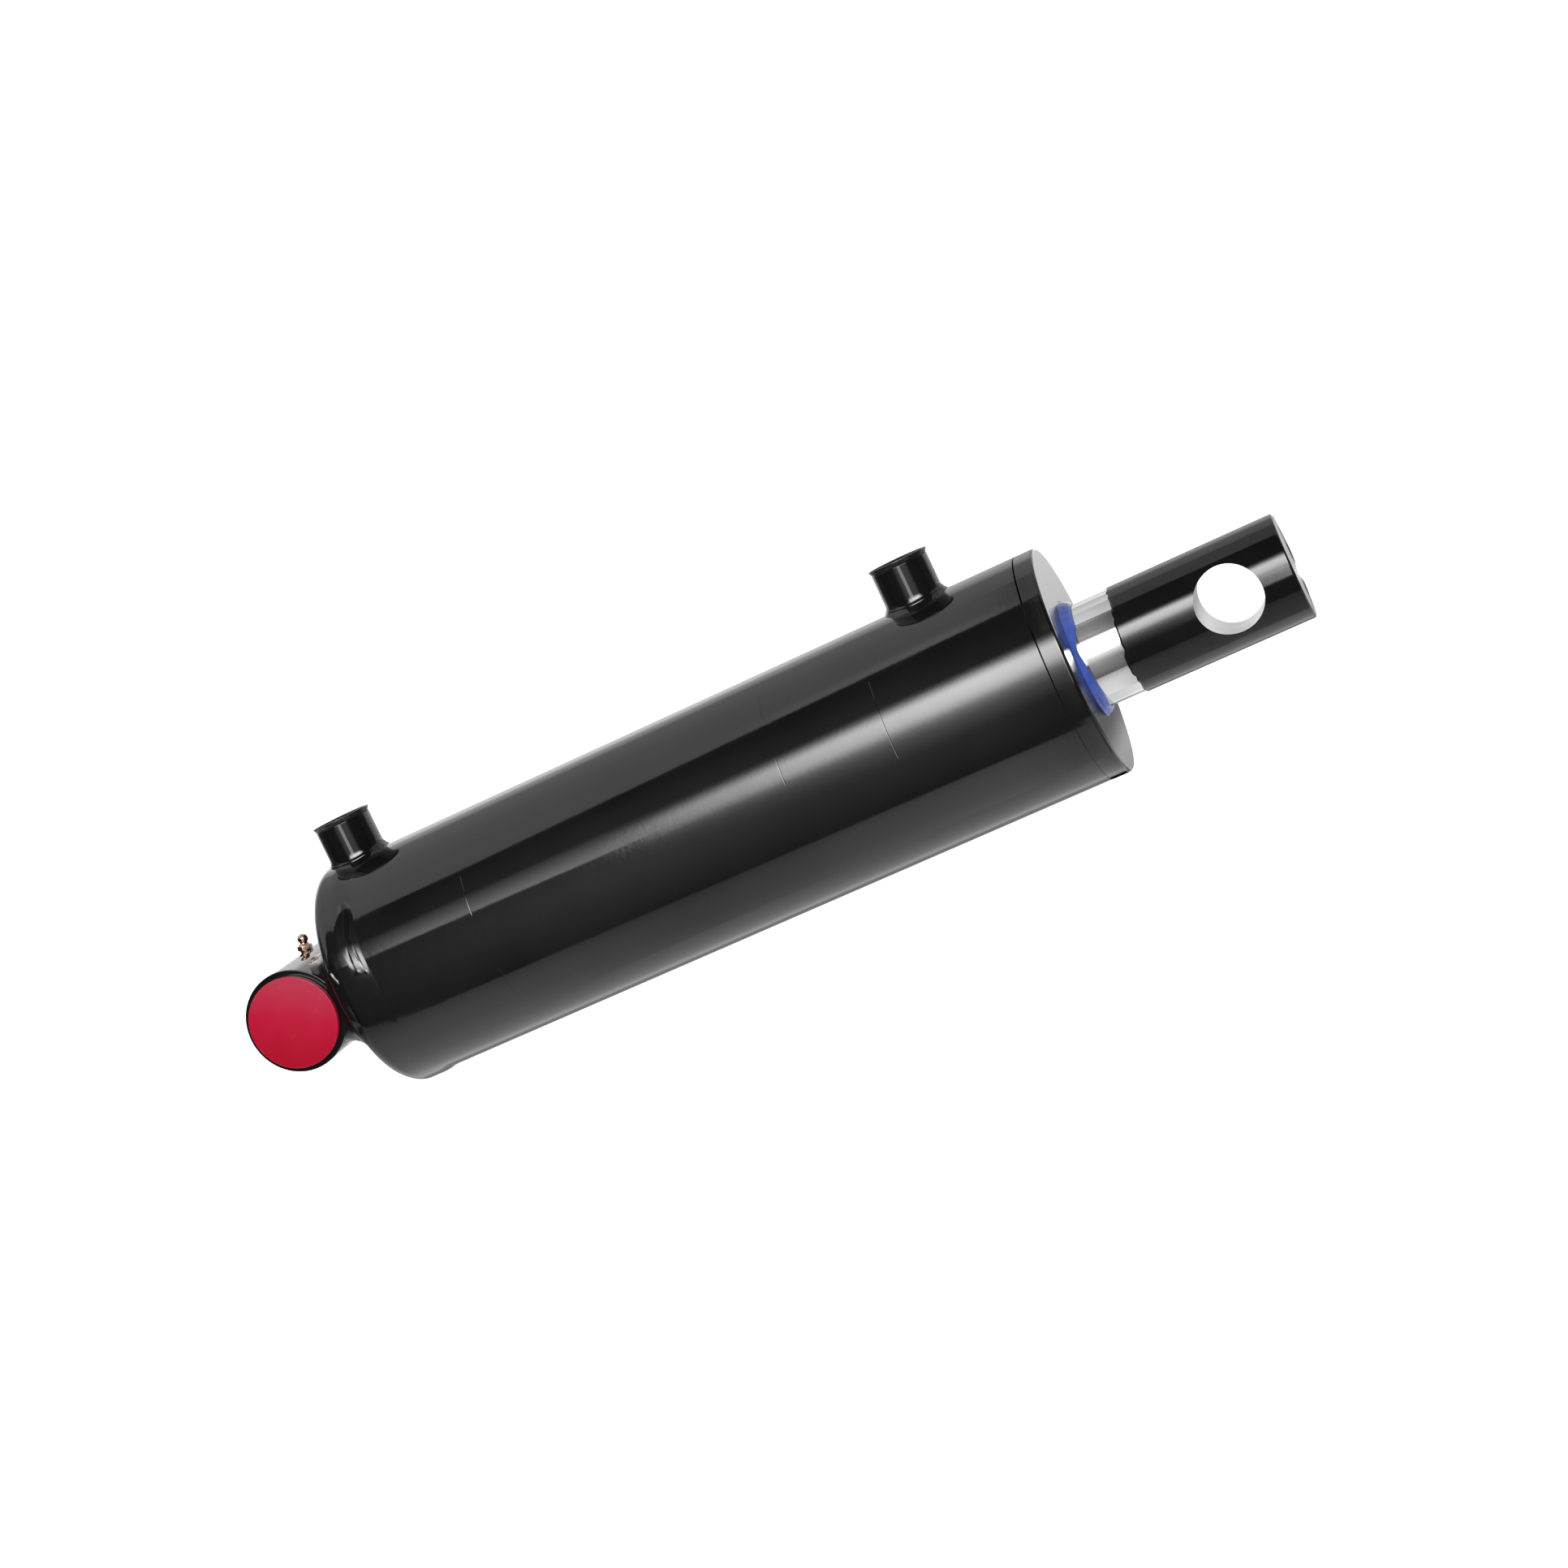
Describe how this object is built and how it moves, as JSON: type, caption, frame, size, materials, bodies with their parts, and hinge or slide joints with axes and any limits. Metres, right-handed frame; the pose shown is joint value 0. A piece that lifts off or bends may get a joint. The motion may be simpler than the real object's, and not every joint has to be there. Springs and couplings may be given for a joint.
{
  "type": "double-acting hydraulic cylinder",
  "caption": "Welded double-acting hydraulic cylinder with a cross tube at its base, oil ports along one side, a wire-retained gland and a pin eye on its rod.",
  "frame": {"origin": "centre of the base cross tube's bore", "axes": "+X along the rod, out of the cylinder; +Z towards the oil ports; Y along both mounting pins"},
  "size_m": [0.4315, 0.092, 0.1082],
  "materials": {
    "black_paint": "gloss",
    "bare_steel": "machined",
    "hard_chrome": "polished",
    "red_plastic": "matte",
    "black_plastic": "gloss",
    "blue_polyurethane": "satin",
    "black_rubber": "matte",
    "guide_resin": "matte",
    "brass": "satin"
  },
  "bodies": {
    "barrel": {"barrel_tube": "black_paint", "base_cap": "black_paint", "base_cap_weld": "black_paint", "cross_tube": "black_paint", "cross_tube_weld": "black_paint", "port_boss_base": "black_paint", "port_boss_head": "black_paint", "port_weld_base": "black_paint", "port_weld_head": "black_paint", "grease_fitting": "brass", "gland": "bare_steel", "gland_o_ring": "black_rubber", "gland_backup_ring": "guide_resin", "gland_retaining_wire": "bare_steel", "rod_wear_ring": "guide_resin", "rod_seal": "blue_polyurethane", "wiper_seal": "blue_polyurethane"},
    "piston_bands": {"piston_seal": "blue_polyurethane", "piston_seal_energizer": "black_rubber", "piston_wear_band_rear": "guide_resin", "piston_wear_band_front": "guide_resin"},
    "rod": {"piston_rod": "hard_chrome", "rod_eye": "black_paint", "piston": "bare_steel", "piston_o_ring": "black_rubber", "piston_nut": "bare_steel"},
    "near_plug": {"bore_plug_near": "red_plastic"},
    "far_plug": {"bore_plug_far": "red_plastic"},
    "base_port_plug": {"port_plug_base": "black_plastic"},
    "head_port_plug": {"port_plug_head": "black_plastic"}
  },
  "joints": [
    {"name": "rod_slide", "type": "slide", "parent": "barrel", "child": "piston_bands", "axis": [1, 0, 0], "range_m": [0, 0.18]},
    {"name": "rod_turn", "type": "hinge", "parent": "piston_bands", "child": "rod", "pos_m": [0.2, 0, 0], "axis": [1, 0, 0], "continuous": true},
    {"name": "bore_plug_near_pull", "type": "slide", "parent": "barrel", "child": "near_plug", "axis": [0, -1, 0], "range_m": [0, 0.012]},
    {"name": "bore_plug_far_pull", "type": "slide", "parent": "barrel", "child": "far_plug", "axis": [0, 1, 0], "range_m": [0, 0.012]},
    {"name": "port_plug_base_pull", "type": "slide", "parent": "barrel", "child": "base_port_plug", "axis": [0, 0, 1], "range_m": [0, 0.012]},
    {"name": "port_plug_head_pull", "type": "slide", "parent": "barrel", "child": "head_port_plug", "axis": [0, 0, 1], "range_m": [0, 0.012]}
  ]
}
